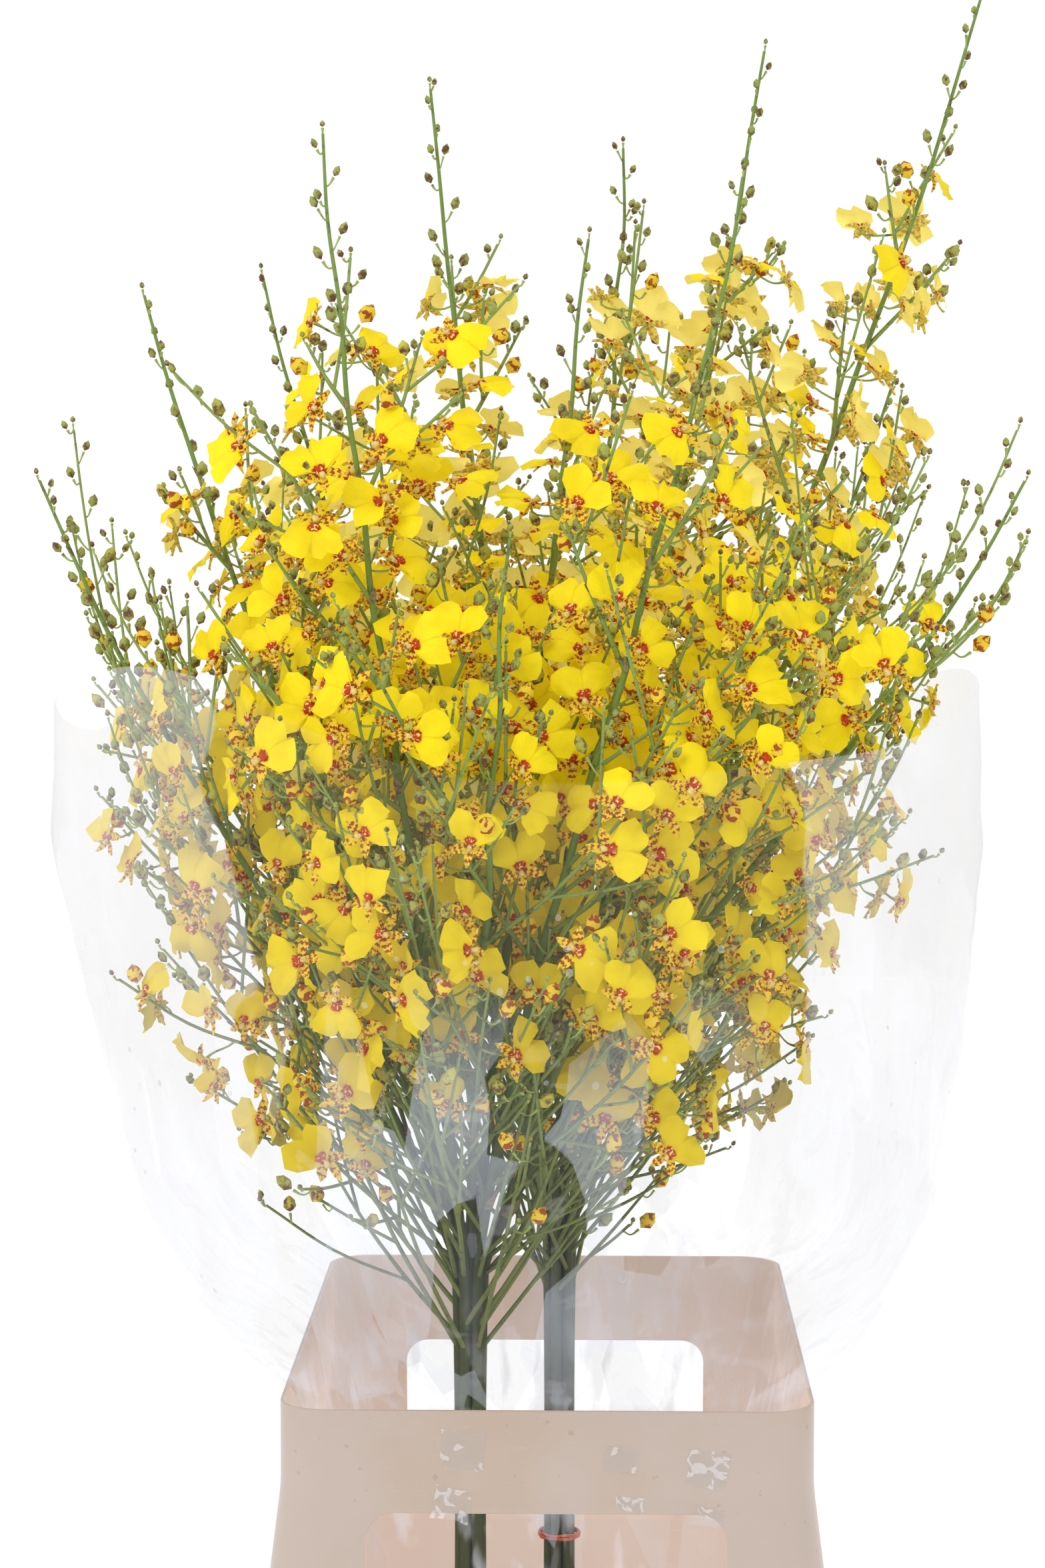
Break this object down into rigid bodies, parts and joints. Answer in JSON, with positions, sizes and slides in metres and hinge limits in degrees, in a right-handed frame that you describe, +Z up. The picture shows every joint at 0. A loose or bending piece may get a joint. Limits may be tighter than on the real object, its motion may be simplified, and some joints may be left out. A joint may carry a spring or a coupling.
{
  "type": "oncidium orchid sprays in a sleeved flower bucket",
  "caption": "Bunches of yellow oncidium orchid sprays in a clear film sleeve, standing in water in a flower bucket with a raised windowed collar",
  "frame": {"origin": "centre of the bucket's underside, on the surface it stands on", "axes": "+Z up along the stems, +X along the bucket's short side, +Y along its long side, away from the viewer"},
  "size_m": [0.5307, 0.516, 1.0721],
  "materials": {
    "collar": "smooth beige moulded plastic with water stains and tape remnants",
    "bucket": "smooth beige moulded plastic, scuffed",
    "water": "clear still water",
    "film": "clear glossy polypropylene film with soft folds",
    "rubber_band": "orange rubber, wound double",
    "spray": "soft satin petals, yellow lips with red-brown marks, green stems and buds"
  },
  "bodies": {
    "root": {"bucket": "bucket", "collar": "collar", "water": "water", "sleeve": "film", "rubber_band_front": "rubber_band", "rubber_band_back": "rubber_band", "spray_01": "spray", "spray_02": "spray", "spray_03": "spray", "spray_04": "spray", "spray_05": "spray", "spray_06": "spray", "spray_07": "spray", "spray_08": "spray", "spray_09": "spray", "spray_10": "spray", "spray_11": "spray", "spray_12": "spray", "spray_13": "spray", "spray_14": "spray"}
  },
  "joints": []
}
